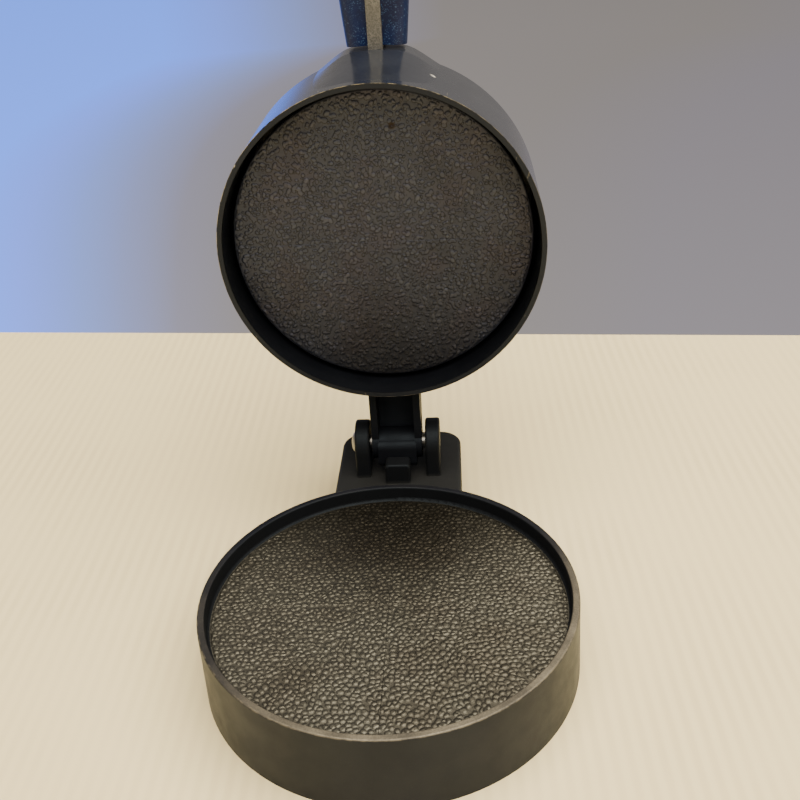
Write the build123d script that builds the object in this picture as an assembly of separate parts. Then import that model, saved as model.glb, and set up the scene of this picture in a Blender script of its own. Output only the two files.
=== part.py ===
"""Hinged burger press in cast aluminium: a round pan, a deep lid with an adjustable press plate,
a hinge at the back and a two-scale handle on the front of the lid.

Frame: millimetres, +Z up, origin at the centre of the pan where it stands on the table.
The hinge is at the back (+Y). The lid is drawn open and upright, resting on its stop.
Lid pieces are first drawn closed, on the lid's own axes: Z = 0 is the rim plane, +Z goes up
to the lid's top, +Y points to the hinge and -Y to the handle. place_lid() then opens them.
"""

from build123d import *
import math
import os

os.makedirs("parts", exist_ok=True)

# ---- driving dimensions: pan -------------------------------------------------------------
PAN_RIM_R = 62.5          # outer radius at the rim
PAN_FOOT_R = 63.1         # outer radius at the table
PAN_HEIGHT = 27.5
PAN_INNER_R = 60.0
PAN_RECESS = 5.7          # rim down to the cast floor
PAN_FLOOR_FILLET = 1.2
PAN_FLOOR_THICK = 4.0
PAN_DRAFT = 0.1           # the recess is this much smaller in radius at its floor
SKIRT_THICK = 3.0
SKIRT_DRAFT = 0.4         # the skirt's inner face leans in this much towards the floor
RIM_EDGE_R = 0.6
RIB_THICK = 3.0
RIB_GAP = 2.0             # ribs stop this far above the table
POST_R = 9.0              # centre post that carries the press load to the table

# ---- driving dimensions: hinge -----------------------------------------------------------
HINGE_Y = 84.0
HINGE_Z = 33.6
BLOCK_WIDTH = 49.3
BLOCK_REAR_Y = 110.0
BLOCK_TOP_Z = 22.3
BLOCK_CORNER_R = 9.0
BLOCK_WALL = 3.0
BLOCK_EDGE_R = 1.6
EAR_GAP = 22.0
EAR_THICK = 5.6
EAR_R = 9.0
EAR_EDGE_R = 0.9
PIN_R = 3.0
PIN_BORE_R = 3.07         # the pin turns freely in the lid's knuckle
PIN_HEAD_R = 4.4
PIN_HEAD_TALL = 2.0
LUG_WIDTH = 9.8           # stop lug cast in front of the hinge
LUG_TOP_Z = 30.7
LUG_FRONT_Y = 70.4
LUG_BACK_Y = 76.6
LUG_SIDE_R = 1.5
LUG_FRONT_R = 0.8

# ---- driving dimensions: lid -------------------------------------------------------------
OPEN_ANGLE = 90.0
LID_FLOAT = -0.6          # the lid has floated along its pin, towards the left ear
LID_R = 57.6
LID_WALL = 1.8            # at the rim
LID_LIP_TALL = 3.0        # the bore is straight for this far in
LID_DEPTH = 49.2
LID_TOP_THICK = 3.2
LID_CAVITY_TOP_R = 55.0
LID_TOP_EDGE_R = 2.2
LID_RIM_Z = 22.5          # height of the rim plane when closed
BOSS_TOP_R = 26.0         # raised seat for the knob on the lid's top
BOSS_TOP_TALL = 2.0
BOSS_EDGE = 0.6
BOSS_IN_R = 13.0
BOSS_IN_TALL = 2.3
KEY_POST_AT = 16.5        # two posts under the lid's top carry the key plate
KEY_POST_R = 4.2

# ---- driving dimensions: hinge arm (part of the lid casting) ------------------------------
ARM_LEFT_X = -9.9
ARM_WIDTH = 19.5
CHEEK_THICK = 2.7
CHEEK_END_R = 6.6
CHEEK_FOOT_Z = 28.4       # closed height of the cheeks' lower edge, above the pan's rim
ARM_ROOT_TOP_Z = 47.0
WEB_THICK = 4.0
WEB_STEP = 0.6            # the web's back is set in from the cheeks by this much
KNUCKLE_R = 6.0
NOSE_LENGTH = 8.0
NOSE_DROP = 7.2           # its face meets the stop lug when the lid is upright
NOSE_R = 2.5
NOSE_RISE = 3.5           # it starts this far above the pin's axis, as a rounded bar
NOSE_BACK = 3.0

# ---- driving dimensions: handle ----------------------------------------------------------
NECK_R = 61.5             # top of the neck, from the lid's axis
NECK_FLAT = 9.0           # it is full height this far to each side, and fades out at its reach
NECK_REACH = 25.0
NECK_SINK = 0.35
NECK_STEPS = 8
NECK_START_Z = 2.0
NECK_FULL_Z = 35.0
NECK_SET = 12.0           # how deep its section reaches into the lid, before the lid is hollowed
TANG_THICK = 5.1
TANG_LOW_Z = 35.6
TANG_TOP_Z = 53.6
TANG_END_R = 182.0
TANG_END_ROUND = 7.0
HANG_HOLE_R = 3.5
HANG_HOLE_IN = 7.5
TANG_HEEL_R = 3.5         # where the tang runs onto the lid's top
TANG_HEEL_AT = 51.6
GRIP_START_R = 62.6
GRIP_END_R = 169.0
GRIP_MID_Z = 45.4
# stations along the handle: distance from the lid's axis, full width, height
GRIP_STATIONS = ((58.0, 20.9, 14.4), (78.0, 24.6, 15.8), (105.0, 27.0, 17.0),
                 (138.0, 24.6, 16.2), (GRIP_END_R, 23.0, 14.6))
GRIP_CORNER = 0.42        # corner radius as a share of the section's height
RIVET_AT = (84.0, 147.0)  # distances of the two grip fasteners from the lid's axis
RIVET_R = 2.5
RIVET_HEAD_R = 4.2
RIVET_HEAD_TALL = 1.6
RIVET_PROUD = 0.5
RIVET_SCREW_R = 1.5
RIVET_SLOT_WIDE = 1.0
RIVET_SLOT_DEEP = 0.9
GRIP_CLEAR_X = 30.0       # past the scales' widest point

# ---- driving dimensions: press plate and its adjuster ------------------------------------
PLATE_R = 53.8
PLATE_RECESS = 10.8       # rim plane up to the plate's cast face
PLATE_THICK = 4.0
PLATE_EDGE_R = 0.8
PLATE_RIB_TALL = 3.0
PLATE_RIB_THICK = 2.6
PLATE_RIB_REACH = 46.0
PLATE_RIBS = 6
HUB_R = 10.0
HUB_TALL = 5.0
SCREW_R = 5.0
SCREW_SINK = 6.0          # how far the screw is set into the hub
SCREW_TOP_Z = 58.0
NUT_FLATS = 16.0
NUT_TALL = 5.0
NUT_CORNER = 0.565        # radius over the rounded corners, as a share of the width across flats
BUSH_R = 8.0
BUSH_BORE_R = 5.06        # runs on the screw
BUSH_HOLE_R = 8.06        # hole in the lid that the bush turns in
BUSH_TOP_Z = 66.0
BUSH_FLANGE_R = 11.0
BUSH_FLANGE_TALL = 2.0
SCREW_FLAT = 4.1          # flat along the screw, from its axis; the key plate stops it turning
KEY_PLATE_TALL = 1.5
KEY_PLATE_HALF = 21.5
KEY_PLATE_WIDTH = 16.0
KEY_CLEAR = 0.1
KEY_SCREW_R = 1.5
KEY_SCREW_LENGTH = 6.0
KEY_HEAD_R = 2.8
KEY_HEAD_TALL = 1.6
CROSS_HALF = 1.6          # the head's cross recess
CROSS_WIDE = 0.7
SET_SCREW_R = 2.0
SET_SCREW_LENGTH = 8.0
SET_SCREW_Z = 7.5         # above the knob's foot
SET_SCREW_SOCKET = 2.0
WASHER_R = 22.0
WASHER_TALL = 0.6
RUN_GAP = 0.12            # end float between turning faces
KNOB_R = 22.0
KNOB_SKIRT_R = 25.0
KNOB_SKIRT_TALL = 4.0
KNOB_TALL = 26.0
KNOB_LOBES = 10
KNOB_LOBE_R = 5.2
KNOB_LOBE_AT = 24.3       # the flutes' centres, from the knob's axis
KNOB_EDGE = 1.6
KNOB_WELL_R = 5.8
CAP_R = 14.0
CAP_TALL = 2.2
CAP_PROUD = 0.6
INDEX_HALF = 2.4          # cast arrow that the knob is set against
INDEX_LENGTH = 6.4
INDEX_TALL = 0.8

# ---- modelling allowances -----------------------------------------------------------------
SINK = 0.5                # a raised detail is drawn this deep into the face it stands on
PAST = 1.0                # a cut is drawn this far past the face it opens
NEAR = 0.01               # two heights closer than this are the same

# ---- worked out ---------------------------------------------------------------------------
PAN_FLOOR_Z = PAN_HEIGHT - PAN_RECESS
PAN_UNDER_Z = PAN_FLOOR_Z - PAN_FLOOR_THICK
EAR_IN = EAR_GAP / 2
EAR_OUT = EAR_IN + EAR_THICK
LID_CEILING_Z = LID_DEPTH - LID_TOP_THICK
BOSS_TOP_Z = LID_DEPTH + BOSS_TOP_TALL
BOSS_FOOT_Z = LID_CEILING_Z - BOSS_IN_TALL
FLANGE_TOP_Z = BOSS_FOOT_Z - RUN_GAP
BUSH_FOOT_Z = FLANGE_TOP_Z - BUSH_FLANGE_TALL
KEY_PLATE_TOP_Z = BUSH_FOOT_Z - RUN_GAP
KEY_PLATE_FOOT_Z = KEY_PLATE_TOP_Z - KEY_PLATE_TALL
WASHER_FOOT_Z = BOSS_TOP_Z + RUN_GAP
KNOB_FOOT_Z = WASHER_FOOT_Z + WASHER_TALL
KNOB_TOP_Z = KNOB_FOOT_Z + KNOB_TALL
PLATE_BACK_Z = PLATE_RECESS + PLATE_THICK
HUB_TOP_Z = PLATE_BACK_Z + HUB_TALL
HINGE_LOCAL_Z = HINGE_Z - LID_RIM_Z


def rod(radius, low, high, x=0.0, y=0.0):
    """Upright cylinder from low to high."""
    return Pos(x, y, low) * Cylinder(radius, high - low, align=(Align.CENTER, Align.CENTER, Align.MIN))


def block(x0, x1, y0, y1, z0, z1):
    """Box between two corners."""
    return Pos(x0, y0, z0) * Box(x1 - x0, y1 - y0, z1 - z0, align=(Align.MIN, Align.MIN, Align.MIN))


def cross_rod(radius, x0, x1, y, z):
    """Cylinder lying along X."""
    return Pos(x0, y, z) * Rot(0, 90, 0) * Cylinder(
        radius, x1 - x0, align=(Align.CENTER, Align.CENTER, Align.MIN))


def side_plate(points, x0, x1):
    """Plate cut to a side outline given as (y, z) points, between x0 and x1."""
    outline = Polyline(*[(0, y, z) for y, z in points], close=True)
    return Pos(x0, 0, 0) * extrude(make_face(outline), x1 - x0, dir=(1, 0, 0))


def place_lid(shape):
    """Closed lid axes to the row frame, with the lid standing open."""
    closed = Pos(LID_FLOAT, 0, LID_RIM_Z) * shape
    return closed.rotate(Axis((0, HINGE_Y, HINGE_Z), (1, 0, 0)), -OPEN_ANGLE)


def save(shape, name):
    export_step(shape, f"parts/{name}.step")


def edges_at(shape, z):
    """Edges that lie at height z."""
    return shape.edges().filter_by_position(Axis.Z, z - NEAR, z + NEAR)


def circles_at(shape, z):
    """Round edges that lie at height z."""
    return [e for e in shape.edges().filter_by(GeomType.CIRCLE) if abs(e.center().Z - z) < NEAR]


# ---- base casting -------------------------------------------------------------------------
def make_base():
    """Pan with a hollow underside, hinge block, two ears and the stop lug, all one casting."""
    inner_low = PAN_INNER_R - PAN_DRAFT
    section = make_face(Polyline(
        (0, 0, PAN_UNDER_Z), (PAN_FOOT_R - SKIRT_THICK - SKIRT_DRAFT, 0, PAN_UNDER_Z),
        (PAN_FOOT_R - SKIRT_THICK, 0, 0), (PAN_FOOT_R, 0, 0), (PAN_RIM_R, 0, PAN_HEIGHT),
        (PAN_INNER_R, 0, PAN_HEIGHT), (inner_low, 0, PAN_FLOOR_Z), (0, 0, PAN_FLOOR_Z), close=True))
    pan = revolve(section, Axis.Z)
    pan = fillet(circles_at(pan, PAN_FLOOR_Z), PAN_FLOOR_FILLET)
    pan = fillet(circles_at(pan, PAN_HEIGHT), RIM_EDGE_R)
    reach = PAN_FOOT_R - SKIRT_THICK + SINK
    ribs = block(-reach, reach, -RIB_THICK / 2, RIB_THICK / 2, RIB_GAP, PAN_UNDER_Z + SINK)
    ribs += block(-RIB_THICK / 2, RIB_THICK / 2, -reach, reach, RIB_GAP, PAN_UNDER_Z + SINK)
    half = BLOCK_WIDTH / 2
    front_y = PAN_INNER_R - 10
    deck = block(-half, half, front_y, BLOCK_REAR_Y, 0, BLOCK_TOP_Z)
    rear = [e for e in deck.edges().filter_by(Axis.Z) if e.center().Y > BLOCK_REAR_Y - NEAR]
    deck = fillet(rear, BLOCK_CORNER_R)
    top = deck.faces().sort_by(Axis.Z)[-1]
    deck = fillet([e for e in top.edges() if e.center().Y > front_y + NEAR], BLOCK_EDGE_R)
    pocket = block(-half + BLOCK_WALL, half - BLOCK_WALL, front_y, BLOCK_REAR_Y - BLOCK_WALL,
                   -PAST, BLOCK_TOP_Z - PAN_FLOOR_THICK)
    rear = [e for e in pocket.edges().filter_by(Axis.Z) if e.center().Y > front_y + NEAR]
    pocket = fillet(rear, BLOCK_CORNER_R - BLOCK_WALL)
    deck = deck - pocket - rod(PAN_RIM_R - SINK, -PAST, BLOCK_TOP_Z + PAST)
    base = pan + ribs + rod(POST_R, 0, PAN_UNDER_Z + SINK) + deck
    for side in (-1, 1):
        low = EAR_IN if side > 0 else -EAR_OUT
        foot_z = BLOCK_TOP_Z - SINK
        ear = block(low, low + EAR_THICK, HINGE_Y - EAR_R, HINGE_Y + EAR_R, foot_z, HINGE_Z)
        ear += cross_rod(EAR_R, low, low + EAR_THICK, HINGE_Y, HINGE_Z)
        faces = [f for f in ear.faces() if abs(f.center().X - low) < NEAR
                 or abs(f.center().X - low - EAR_THICK) < NEAR]
        rims = [e for f in faces for e in f.edges() if e.center().Z > BLOCK_TOP_Z]
        base += fillet(rims, EAR_EDGE_R)
    lug = block(-LUG_WIDTH / 2, LUG_WIDTH / 2, LUG_FRONT_Y, LUG_BACK_Y, BLOCK_TOP_Z - SINK, LUG_TOP_Z)
    lug = fillet([e for e in edges_at(lug, LUG_TOP_Z).filter_by(Axis.Y)], LUG_SIDE_R)
    lug = fillet([e for e in edges_at(lug, LUG_TOP_Z) if e.center().Y < LUG_FRONT_Y + NEAR], LUG_FRONT_R)
    base += lug
    return base - cross_rod(PIN_R, -EAR_OUT - PAST, EAR_OUT + PAST, HINGE_Y, HINGE_Z)


# ---- lid casting --------------------------------------------------------------------------
def neck_slice(z, rise):
    """Section of the neck at height z: the wall's own curve, raised by rise in the middle."""
    points = []
    for i in range(-NECK_STEPS, NECK_STEPS + 1):
        x = NECK_REACH * i / NECK_STEPS
        t = min(1.0, (NECK_REACH - abs(x)) / (NECK_REACH - NECK_FLAT))
        share = t * t * (3 - 2 * t)
        out = math.sqrt(LID_R ** 2 - x ** 2) + rise * share - NECK_SINK * (1 - share)
        points.append((x, -out))
    inner = points[0][1] + NECK_SET
    outline = (Spline(*points)
               + Line(points[-1], (NECK_REACH, inner))
               + Line((NECK_REACH, inner), (-NECK_REACH, inner))
               + Line((-NECK_REACH, inner), points[0]))
    return Pos(0, 0, z) * make_face(outline)


def make_lid_body():
    """Outside of the lid without its hollow: round wall and the neck that swells out of it."""
    first = neck_slice(NECK_START_Z, -NECK_SINK)
    full = neck_slice(NECK_FULL_Z, NECK_R - LID_R)
    neck = loft([first, full]) + extrude(full, LID_DEPTH - NECK_FULL_Z)
    body = rod(LID_R, 0, LID_DEPTH) + neck
    return fillet(edges_at(body, LID_DEPTH), LID_TOP_EDGE_R)


def make_lid(body):
    """Deep shell with the knob seat, the bush boss and the key posts."""
    cavity = make_face(Polyline(
        (0, 0, -PAST), (LID_R - LID_WALL, 0, -PAST), (LID_R - LID_WALL, 0, LID_LIP_TALL),
        (LID_CAVITY_TOP_R, 0, LID_CEILING_Z), (0, 0, LID_CEILING_Z), close=True))
    lid = body - revolve(cavity, Axis.Z)
    lid += rod(BOSS_IN_R, BOSS_FOOT_Z, LID_CEILING_Z + SINK)
    seat = rod(BOSS_TOP_R, LID_DEPTH - SINK, BOSS_TOP_Z)
    lid += chamfer(edges_at(seat, BOSS_TOP_Z), BOSS_EDGE)
    lid -= rod(BUSH_HOLE_R, BOSS_FOOT_Z - PAST, BOSS_TOP_Z + PAST)
    for x in (-KEY_POST_AT, KEY_POST_AT):
        lid += rod(KEY_POST_R, KEY_PLATE_TOP_Z, LID_CEILING_Z + SINK, x)
        lid -= rod(KEY_SCREW_R, KEY_PLATE_TOP_Z - PAST, KEY_PLATE_FOOT_Z + KEY_SCREW_LENGTH, x)
    base_y = -BOSS_TOP_R - INDEX_LENGTH - 1.3
    arrow = Polyline((-INDEX_HALF, base_y), (INDEX_HALF, base_y), (0, base_y + INDEX_LENGTH), close=True)
    return lid + Pos(0, 0, LID_DEPTH - SINK) * extrude(make_face(arrow), INDEX_TALL + SINK)


def make_tang(body):
    """Flat bar between the handle scales, part of the lid's casting; it runs onto the lid's top."""
    half = TANG_THICK / 2
    tang = block(-half, half, -TANG_END_R, -NECK_R + 4.5, TANG_LOW_Z, TANG_TOP_Z)
    ends = [e for e in tang.edges().filter_by(Axis.X) if e.center().Y < -TANG_END_R + NEAR]
    tang = fillet(ends, TANG_END_ROUND)
    foot = block(-half, half, -NECK_R - SINK, -TANG_HEEL_AT, LID_DEPTH - 3, TANG_TOP_Z)
    heel = [e for e in edges_at(foot, TANG_TOP_Z).filter_by(Axis.X) if e.center().Y > -TANG_HEEL_AT - NEAR]
    tang += fillet(heel, TANG_HEEL_R)
    mid_z = (TANG_LOW_Z + TANG_TOP_Z) / 2
    tang -= cross_rod(HANG_HOLE_R, -half - PAST, half + PAST, -(TANG_END_R - HANG_HOLE_IN), mid_z)
    for at in RIVET_AT:
        tang -= cross_rod(RIVET_R, -half - PAST, half + PAST, -at, GRIP_MID_Z)
    return tang - body


def make_arm(body):
    """Channel-shaped hinge arm of the lid's casting, with its knuckle and the nose for the stop."""
    low = CHEEK_FOOT_Z - LID_RIM_Z
    top = ARM_ROOT_TOP_Z - LID_RIM_Z
    root_y = math.sqrt((LID_R - SINK) ** 2 - (ARM_WIDTH / 2 + 1.0) ** 2)
    knee_z = HINGE_LOCAL_Z + CHEEK_END_R
    left = ARM_LEFT_X - LID_FLOAT
    right = left + ARM_WIDTH
    outline = ((root_y, low), (HINGE_Y - 4.0, low), (HINGE_Y, HINGE_LOCAL_Z - CHEEK_END_R + 1.2),
               (HINGE_Y, knee_z), (root_y, top))
    arm = None
    for x0, x1 in ((left, left + CHEEK_THICK), (right - CHEEK_THICK, right)):
        cheek = side_plate(outline, x0, x1) + cross_rod(CHEEK_END_R, x0, x1, HINGE_Y, HINGE_LOCAL_Z)
        arm = cheek if arm is None else arm + cheek
    inner = (left + CHEEK_THICK - SINK, right - CHEEK_THICK + SINK)
    web_top = top - WEB_STEP
    web = side_plate(((root_y, top - WEB_THICK), (HINGE_Y - 3.0, knee_z - WEB_THICK), (HINGE_Y, HINGE_LOCAL_Z),
                      (HINGE_Y, knee_z - WEB_STEP), (root_y, web_top)), *inner)
    knuckle = cross_rod(KNUCKLE_R, *inner, HINGE_Y, HINGE_LOCAL_Z)
    nose = block(*inner, HINGE_Y - NOSE_RISE, HINGE_Y + NOSE_LENGTH,
                 HINGE_LOCAL_Z - NOSE_DROP, HINGE_LOCAL_Z + NOSE_BACK)
    along = nose.edges().filter_by(Axis.X)
    rise_side = [e for e in along if e.center().Y < HINGE_Y and e.center().Z < HINGE_LOCAL_Z]
    nose = fillet(rise_side, NOSE_RISE - 0.1)
    along = nose.edges().filter_by(Axis.X)
    nose = fillet([e for e in along if e.center().Y > HINGE_Y + NOSE_LENGTH - NEAR], NOSE_R)
    arm = arm + web + knuckle + nose - body
    return arm - cross_rod(PIN_BORE_R, left - PAST, right + PAST, HINGE_Y, HINGE_LOCAL_Z)


# ---- handle scales and their fasteners ----------------------------------------------------
def make_grips():
    """Two moulded scales: one lofted grip, parted by the tang."""
    faces = []
    for at, width, tall in GRIP_STATIONS:
        plane = Plane(origin=(0, -at, GRIP_MID_Z), x_dir=(1, 0, 0), z_dir=(0, -1, 0))
        faces.append(plane * RectangleRounded(width, tall, tall * GRIP_CORNER))
    whole = loft(faces) - rod(GRIP_START_R, 0, GRIP_MID_Z * 2)
    parts = []
    for side in (-1, 1):
        inner = side * TANG_THICK / 2
        outer = side * GRIP_CLEAR_X
        scale = whole & block(min(inner, outer), max(inner, outer), -TANG_END_R, 0, 0, GRIP_MID_Z * 2)
        for at in RIVET_AT:
            seat = side * rivet_seat(at)
            scale -= cross_rod(RIVET_R, min(0, outer), max(0, outer), -at, GRIP_MID_Z)
            scale -= cross_rod(RIVET_HEAD_R, min(seat, outer), max(seat, outer), -at, GRIP_MID_Z)
        parts.append(scale)
    return parts


def rivet_seat(at):
    """Distance from the tang's middle to the face that a fastener's head bears on."""
    return rivet_span(at) / 2 - RIVET_HEAD_TALL + RIVET_PROUD


def rivet_span(at):
    """Full width of the grip at a fastener, between neighbouring stations."""
    for (a0, w0, _), (a1, w1, _) in zip(GRIP_STATIONS, GRIP_STATIONS[1:]):
        if a0 <= at <= a1:
            return w0 + (w1 - w0) * (at - a0) / (a1 - a0)
    return GRIP_STATIONS[-1][1]


def turned(points, y, z):
    """Piece turned about an axis along X, from its (x, radius) outline."""
    outline = Polyline(*[(x, r, 0) for x, r in points], close=True)
    return Pos(0, y, z) * revolve(make_face(outline), Axis.X)


def headed_rod(radius, head_radius, head_tall, head_x, end_x, y, z):
    """Round shank with a low domed head; the head sits at head_x and the shank runs to end_x."""
    out = -1 if end_x > head_x else 1
    dome = [(head_x + out * head_tall * math.sin(math.radians(a)),
             head_radius * math.cos(math.radians(a))) for a in (18, 36, 54, 72)]
    points = [(end_x, 0), (end_x, radius), (head_x, radius), (head_x, head_radius)]
    return turned(points + dome + [(head_x + out * head_tall, 0)], y, z)


def make_grip_fastener(at):
    """Barrel nut from the left and screw from the right, meeting inside the tang."""
    seat = rivet_seat(at)
    nut = headed_rod(RIVET_R, RIVET_HEAD_R, RIVET_HEAD_TALL, -seat, seat - 2.0, -at, GRIP_MID_Z)
    nut -= cross_rod(RIVET_SCREW_R, -2.0, seat, -at, GRIP_MID_Z)
    screw = headed_rod(RIVET_SCREW_R, RIVET_HEAD_R, RIVET_HEAD_TALL, seat, -1.5, -at, GRIP_MID_Z)
    screw += cross_rod(RIVET_R, seat - 2.0, seat, -at, GRIP_MID_Z)
    top_x = seat + RIVET_HEAD_TALL
    half = RIVET_SLOT_WIDE / 2
    screw -= block(top_x - RIVET_SLOT_DEEP, top_x + PAST, -at - half, -at + half,
                   GRIP_MID_Z - RIVET_HEAD_R, GRIP_MID_Z + RIVET_HEAD_R)
    return nut, screw


# ---- press plate and adjuster ---------------------------------------------------------------
def make_plate():
    """Loose press plate with a ribbed back and a hub for its screw."""
    plate = rod(PLATE_R, PLATE_RECESS, PLATE_BACK_Z)
    plate = fillet(plate.edges().filter_by(GeomType.CIRCLE), PLATE_EDGE_R)
    for i in range(PLATE_RIBS):
        rib = block(0, PLATE_RIB_REACH, -PLATE_RIB_THICK / 2, PLATE_RIB_THICK / 2,
                    PLATE_BACK_Z - SINK, PLATE_BACK_Z + PLATE_RIB_TALL)
        plate += Rot(0, 0, (i + 0.5) * 360 / PLATE_RIBS) * rib
    plate += rod(HUB_R, PLATE_BACK_Z - SINK, HUB_TOP_Z)
    return plate - rod(SCREW_R, HUB_TOP_Z - SCREW_SINK, HUB_TOP_Z + PAST)


def make_screw():
    """Adjusting screw with a flat along it; its thread is drawn as a plain shank."""
    screw = rod(SCREW_R, HUB_TOP_Z - SCREW_SINK, SCREW_TOP_Z)
    screw = chamfer(circles_at(screw, SCREW_TOP_Z), 0.8)
    flat_foot = HUB_TOP_Z + NUT_TALL
    return screw - block(SCREW_FLAT, SCREW_R + PAST, -SCREW_R, SCREW_R, flat_foot, SCREW_TOP_Z + PAST)


def make_lock_nut():
    nut = Pos(0, 0, HUB_TOP_Z) * extrude(RegularPolygon(NUT_FLATS / 2, 6, major_radius=False), NUT_TALL)
    nut = nut & rod(NUT_FLATS * NUT_CORNER, HUB_TOP_Z, HUB_TOP_Z + NUT_TALL)
    return nut - rod(SCREW_R, HUB_TOP_Z - PAST, HUB_TOP_Z + NUT_TALL + PAST)


def make_bush():
    """Threaded bush: its flange bears under the lid's top and the knob is fixed to its upper end."""
    bush = rod(BUSH_R, BUSH_FOOT_Z, BUSH_TOP_Z) + rod(BUSH_FLANGE_R, BUSH_FOOT_Z, FLANGE_TOP_Z)
    return bush - rod(BUSH_BORE_R, BUSH_FOOT_Z - PAST, BUSH_TOP_Z + PAST)


def make_key_plate():
    """Steel strip under the bush; its flat-sided hole keeps the screw from turning."""
    strip = block(-KEY_PLATE_HALF, KEY_PLATE_HALF, -KEY_PLATE_WIDTH / 2, KEY_PLATE_WIDTH / 2,
                  KEY_PLATE_FOOT_Z, KEY_PLATE_TOP_Z)
    strip = fillet(strip.edges().filter_by(Axis.Z), KEY_PLATE_WIDTH / 4)
    low = KEY_PLATE_FOOT_Z - PAST
    high = KEY_PLATE_TOP_Z + PAST
    hole = rod(SCREW_R + KEY_CLEAR, low, high)
    hole -= block(SCREW_FLAT + KEY_CLEAR, SCREW_R + PAST, -SCREW_R - PAST, SCREW_R + PAST, low, high)
    strip -= hole
    for x in (-KEY_POST_AT, KEY_POST_AT):
        strip -= rod(KEY_SCREW_R, low, high, x)
    return strip


def make_key_screw(x):
    """Pan-head screw, drawn with a cross recess."""
    low = KEY_PLATE_FOOT_Z - KEY_HEAD_TALL
    head = rod(KEY_HEAD_R, low, KEY_PLATE_FOOT_Z, x)
    head = fillet(edges_at(head, low), KEY_HEAD_TALL / 2)
    end = KEY_PLATE_FOOT_Z + KEY_SCREW_LENGTH - SINK
    screw = head + rod(KEY_SCREW_R, KEY_PLATE_FOOT_Z - SINK, end, x)
    slot = block(-CROSS_HALF, CROSS_HALF, -CROSS_WIDE / 2, CROSS_WIDE / 2, low - PAST, low + KEY_HEAD_TALL / 2)
    for turn in (0, 90):
        screw -= Pos(x, 0, 0) * Rot(0, 0, turn) * slot
    return screw


def make_set_screw():
    """Socket set screw that locks the knob to the bush."""
    centre = Pos(0, -BUSH_R, KNOB_FOOT_Z + SET_SCREW_Z) * Rot(90, 0, 0)
    upward = (Align.CENTER, Align.CENTER, Align.MIN)
    body = centre * Cylinder(SET_SCREW_R, SET_SCREW_LENGTH, align=upward)
    hexagon = extrude(RegularPolygon(SET_SCREW_R / 2, 6), SET_SCREW_SOCKET + PAST)
    return body - centre * Pos(0, 0, SET_SCREW_LENGTH - SET_SCREW_SOCKET) * hexagon


def make_washer():
    washer = rod(WASHER_R, WASHER_FOOT_Z, KNOB_FOOT_Z)
    return washer - rod(BUSH_R + 0.2, WASHER_FOOT_Z - PAST, KNOB_FOOT_Z + PAST)


def make_knob():
    """Fluted knob with a skirt, a bush hole, a set-screw hole, a well for the screw and a cap seat."""
    knob = rod(KNOB_R, KNOB_FOOT_Z, KNOB_TOP_Z)
    skirt_z = KNOB_FOOT_Z + KNOB_SKIRT_TALL
    for i in range(KNOB_LOBES):
        angle = math.radians((i + 0.5) * 360 / KNOB_LOBES)
        knob -= rod(KNOB_LOBE_R, skirt_z, KNOB_TOP_Z + PAST,
                    KNOB_LOBE_AT * math.cos(angle), KNOB_LOBE_AT * math.sin(angle))
    knob = fillet(edges_at(knob, KNOB_TOP_Z), KNOB_EDGE)
    knob += chamfer(edges_at(rod(KNOB_SKIRT_R, KNOB_FOOT_Z, skirt_z), skirt_z), KNOB_EDGE)
    knob -= rod(BUSH_R, KNOB_FOOT_Z - PAST, BUSH_TOP_Z)
    knob -= rod(KNOB_WELL_R, BUSH_TOP_Z - PAST, KNOB_TOP_Z)
    knob -= Pos(0, 0, KNOB_FOOT_Z + SET_SCREW_Z) * Rot(90, 0, 0) * Cylinder(
        SET_SCREW_R, KNOB_SKIRT_R, align=(Align.CENTER, Align.CENTER, Align.MIN))
    return knob - rod(CAP_R, KNOB_TOP_Z - CAP_TALL, KNOB_TOP_Z + PAST)


def make_cap():
    cap = rod(CAP_R, KNOB_TOP_Z - CAP_TALL, KNOB_TOP_Z + CAP_PROUD)
    return fillet(edges_at(cap, KNOB_TOP_Z + CAP_PROUD), CAP_PROUD - 0.1)


def make_pin():
    """Hinge pin with a domed head at the left; its right end is flush with the ear."""
    pin = headed_rod(PIN_R, PIN_HEAD_R, PIN_HEAD_TALL, -EAR_OUT, EAR_OUT, HINGE_Y, HINGE_Z)
    return chamfer(pin.edges().filter_by(GeomType.CIRCLE).sort_by(Axis.X)[-1], 0.5)


save(make_base(), "base_casting")
save(make_pin(), "hinge_pin")
lid_body = make_lid_body()
save(place_lid(make_lid(lid_body)), "lid_casting")
save(place_lid(make_tang(lid_body)), "handle_tang")
save(place_lid(make_arm(lid_body)), "hinge_arm")
left_grip, right_grip = make_grips()
save(place_lid(left_grip), "grip_left")
save(place_lid(right_grip), "grip_right")
for fastener, at in zip(("inner", "outer"), RIVET_AT):
    barrel, screw = make_grip_fastener(at)
    save(place_lid(barrel), f"grip_nut_{fastener}")
    save(place_lid(screw), f"grip_screw_{fastener}")
save(place_lid(make_plate()), "press_plate")
save(place_lid(make_screw()), "plate_screw")
save(place_lid(make_lock_nut()), "screw_lock_nut")
save(place_lid(make_bush()), "knob_bush")
save(place_lid(make_key_plate()), "key_plate")
save(place_lid(make_key_screw(-KEY_POST_AT)), "key_screw_left")
save(place_lid(make_key_screw(KEY_POST_AT)), "key_screw_right")
save(place_lid(make_set_screw()), "knob_set_screw")
save(place_lid(make_washer()), "knob_washer")
save(place_lid(make_knob()), "adjuster_knob")
save(place_lid(make_cap()), "knob_cap")
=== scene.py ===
"""Looks of the hinged burger press: pebbled faces, finishes, table, light and camera.

Everything is in metres in the part's own frame: +Z up, hinge at +Y, lid open and upright.
"""

import math

import bpy
import numpy as np
from mathutils import Euler, Matrix, Vector


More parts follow.
